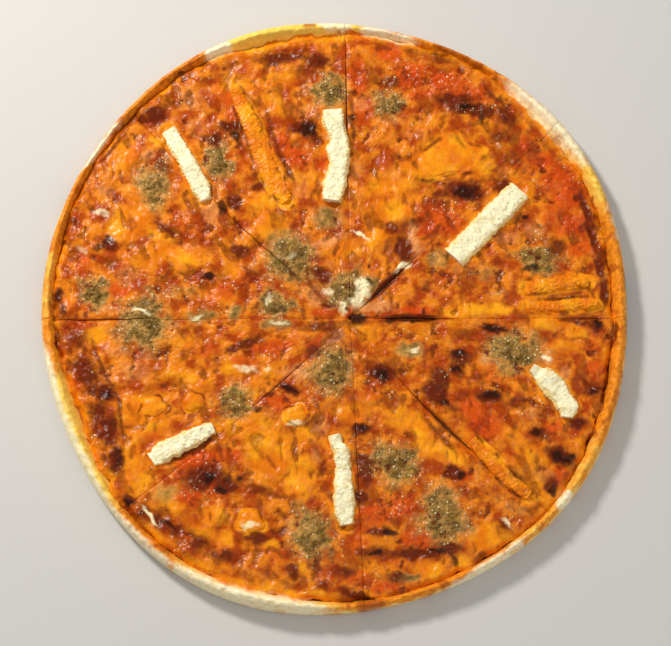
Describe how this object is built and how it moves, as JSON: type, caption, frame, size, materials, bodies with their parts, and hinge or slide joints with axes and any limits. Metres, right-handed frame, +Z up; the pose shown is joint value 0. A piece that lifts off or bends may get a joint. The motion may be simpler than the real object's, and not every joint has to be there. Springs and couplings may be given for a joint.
{
  "type": "four cheese pizza",
  "caption": "Round thin-crust four cheese pizza in wedge slices, with brie strips, blue cheese clumps and cheddar pieces.",
  "frame": {"origin": "middle of the underside, at the centre of the pizza's bounding box", "axes": "+Z up out of the topping, +X to the right and +Y away from the viewer of the picture"},
  "size_m": [0.2858, 0.2996, 0.0124],
  "materials": {
    "blue_1": "crumbly, matte",
    "blue_10": "crumbly, matte",
    "blue_11": "crumbly, matte",
    "blue_12": "crumbly, matte",
    "blue_13": "crumbly, matte",
    "blue_14": "crumbly, matte",
    "blue_15": "crumbly, matte",
    "blue_16": "crumbly, matte",
    "blue_2": "crumbly, matte",
    "blue_3": "crumbly, matte",
    "blue_4": "crumbly, matte",
    "blue_5a": "crumbly, matte",
    "blue_5b": "crumbly, matte",
    "blue_6": "crumbly, matte",
    "blue_7a": "crumbly, matte",
    "blue_7b": "crumbly, matte",
    "blue_8a": "crumbly, matte",
    "blue_8b": "crumbly, matte",
    "blue_9": "crumbly, matte",
    "brie_1a": "soft, matte",
    "brie_1b": "soft, matte",
    "brie_2": "soft, matte",
    "brie_3": "soft, matte",
    "brie_4": "soft, matte",
    "brie_5": "soft, matte",
    "brie_6": "soft, matte",
    "cheddar_1": "melted, satin",
    "cheddar_2": "melted, satin",
    "cheddar_3": "melted, satin",
    "cheddar_4": "melted, satin",
    "cheddar_5": "melted, satin",
    "cheddar_6": "melted, satin",
    "cheddar_7": "melted, satin",
    "cheddar_8": "melted, satin",
    "cheddar_9": "melted, satin",
    "cheese_1": "melted, oily",
    "cheese_2": "melted, oily",
    "cheese_3": "melted, oily",
    "cheese_4": "melted, oily",
    "cheese_5": "melted, oily",
    "cheese_6": "melted, oily",
    "cheese_7": "melted, oily",
    "cheese_8": "melted, oily",
    "dough_1": "baked, matte",
    "dough_2": "baked, matte",
    "dough_3": "baked, matte",
    "dough_4": "baked, matte",
    "dough_5": "baked, matte",
    "dough_6": "baked, matte",
    "dough_7": "baked, matte",
    "dough_8": "baked, matte",
    "sauce_1": "wet, satin",
    "sauce_2": "wet, satin",
    "sauce_3": "wet, satin",
    "sauce_4": "wet, satin",
    "sauce_5": "wet, satin",
    "sauce_6": "wet, satin",
    "sauce_7": "wet, satin",
    "sauce_8": "wet, satin"
  },
  "bodies": {
    "root": {"blue_1": "blue_1", "blue_10": "blue_10", "blue_11": "blue_11", "blue_12": "blue_12", "blue_13": "blue_13", "blue_14": "blue_14", "blue_15": "blue_15", "blue_16": "blue_16", "blue_2": "blue_2", "blue_3": "blue_3", "blue_4": "blue_4", "blue_5a": "blue_5a", "blue_5b": "blue_5b", "blue_6": "blue_6", "blue_7a": "blue_7a", "blue_7b": "blue_7b", "blue_8a": "blue_8a", "blue_8b": "blue_8b", "blue_9": "blue_9", "brie_1a": "brie_1a", "brie_1b": "brie_1b", "brie_2": "brie_2", "brie_3": "brie_3", "brie_4": "brie_4", "brie_5": "brie_5", "brie_6": "brie_6", "cheddar_1": "cheddar_1", "cheddar_2": "cheddar_2", "cheddar_3": "cheddar_3", "cheddar_4": "cheddar_4", "cheddar_5": "cheddar_5", "cheddar_6": "cheddar_6", "cheddar_7": "cheddar_7", "cheddar_8": "cheddar_8", "cheddar_9": "cheddar_9", "cheese_1": "cheese_1", "cheese_2": "cheese_2", "cheese_3": "cheese_3", "cheese_4": "cheese_4", "cheese_5": "cheese_5", "cheese_6": "cheese_6", "cheese_7": "cheese_7", "cheese_8": "cheese_8", "dough_1": "dough_1", "dough_2": "dough_2", "dough_3": "dough_3", "dough_4": "dough_4", "dough_5": "dough_5", "dough_6": "dough_6", "dough_7": "dough_7", "dough_8": "dough_8", "sauce_1": "sauce_1", "sauce_2": "sauce_2", "sauce_3": "sauce_3", "sauce_4": "sauce_4", "sauce_5": "sauce_5", "sauce_6": "sauce_6", "sauce_7": "sauce_7", "sauce_8": "sauce_8"}
  },
  "joints": []
}
